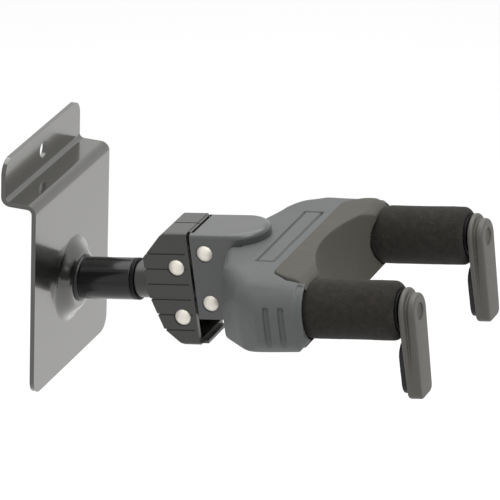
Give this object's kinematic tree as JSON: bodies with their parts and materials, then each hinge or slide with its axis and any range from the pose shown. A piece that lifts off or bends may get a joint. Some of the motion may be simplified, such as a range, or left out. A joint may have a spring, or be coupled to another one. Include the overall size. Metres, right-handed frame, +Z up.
{
  "type": "wall guitar hanger",
  "caption": "Wall hanger with a slatwall plate, a swivel arm, a ribbed knuckle and a padded two-armed yoke whose end fingers close under load.",
  "frame": {"origin": "where the swivel arm's axis meets the plane of the wall plate's back", "axes": "+Z up, +Y into the wall, -Y out from the wall along the hanger, X across the hanger"},
  "size_m": [0.104, 0.1739, 0.0947],
  "materials": {
    "plate_paint": "black powder coat with a soft gloss",
    "tube_paint": "gloss black paint",
    "nylon": "natural nylon",
    "black_plastic": "black moulded plastic",
    "steel": "plain steel",
    "knuckle_metal": "dark grey satin paint on a casting",
    "rivet": "bright domed steel",
    "yoke_plastic": "blue-grey moulded plastic with a fine grain",
    "black_screw": "blackened steel",
    "saddle_rubber": "dark olive-grey soft rubber",
    "cast_alloy": "plain die-cast alloy",
    "foam": "charcoal closed-cell foam",
    "finger_plastic": "mid-grey moulded plastic",
    "pad_rubber": "black rubber",
    "plug_plastic": "darker grey plastic"
  },
  "bodies": {
    "root": {"wall_plate": "plate_paint", "arm_tube": "tube_paint", "weld_bead": "tube_paint", "rear_bush": "nylon", "front_bush": "black_plastic"},
    "swivel": {"swivel_shaft": "steel", "shaft_washer": "steel", "shaft_nut": "steel", "knuckle_housing": "knuckle_metal", "knuckle_rivets": "rivet", "drive_bar": "steel", "return_spring": "steel"},
    "upper_link": {"upper_link": "steel"},
    "lower_link": {"lower_link": "steel"},
    "yoke": {"yoke_bracket": "knuckle_metal", "yoke_rivets": "rivet", "yoke_shell": "yoke_plastic", "yoke_bottom_cover": "yoke_plastic", "cover_screws": "black_screw", "saddle_pad": "saddle_rubber", "arm_carrier": "cast_alloy", "left_arm_tube": "steel", "right_arm_tube": "steel", "left_foam_sleeve": "foam", "right_foam_sleeve": "foam", "left_rear_rod_bush": "nylon", "right_rear_rod_bush": "nylon", "left_front_rod_bush": "black_plastic", "right_front_rod_bush": "black_plastic"},
    "left_finger": {"left_turning_rod": "steel", "left_crank": "steel", "left_finger": "finger_plastic", "left_finger_pad": "pad_rubber", "left_finger_plug": "plug_plastic"},
    "right_finger": {"right_turning_rod": "steel", "right_crank": "steel", "right_finger": "finger_plastic", "right_finger_pad": "pad_rubber", "right_finger_plug": "plug_plastic"}
  },
  "joints": [
    {"name": "yoke_swivel", "type": "hinge", "parent": "root", "child": "swivel", "pos_m": [0, 0, 0], "axis": [0, -0.9877, 0.1564], "range_deg": [-45, 45]},
    {"name": "yoke_drop", "type": "hinge", "parent": "swivel", "child": "upper_link", "pos_m": [0, -0.04968, 0.01749], "axis": [1, 0, 0], "range_deg": [0, 50], "stiffness_Nm_per_rad": 0.03, "springref_deg": -171.89},
    {"name": "lower_link_turn", "type": "hinge", "parent": "swivel", "child": "lower_link", "pos_m": [0, -0.05284, -0.00247], "axis": [1, 0, 0], "range_deg": [0, 50]},
    {"name": "yoke_level", "type": "hinge", "parent": "upper_link", "child": "yoke", "pos_m": [0, -0.06099, 0.02529], "axis": [1, 0, 0], "range_deg": [-50, 0]},
    {"name": "left_finger_turn", "type": "hinge", "parent": "yoke", "child": "left_finger", "pos_m": [-0.0389, -0.1513, 0.02918], "axis": [0, -0.9877, 0.1564], "range_deg": [0, 87.5]},
    {"name": "right_finger_turn", "type": "hinge", "parent": "yoke", "child": "right_finger", "pos_m": [0.0389, -0.1513, 0.02918], "axis": [0, -0.9877, 0.1564], "range_deg": [-87.5, 0]}
  ],
  "couplings": [
    {"joint": "lower_link_turn", "follows": "yoke_drop", "ratio": 1},
    {"joint": "yoke_level", "follows": "yoke_drop", "ratio": -1},
    {"joint": "left_finger_turn", "follows": "yoke_drop", "ratio": 1.75},
    {"joint": "right_finger_turn", "follows": "yoke_drop", "ratio": -1.75}
  ]
}
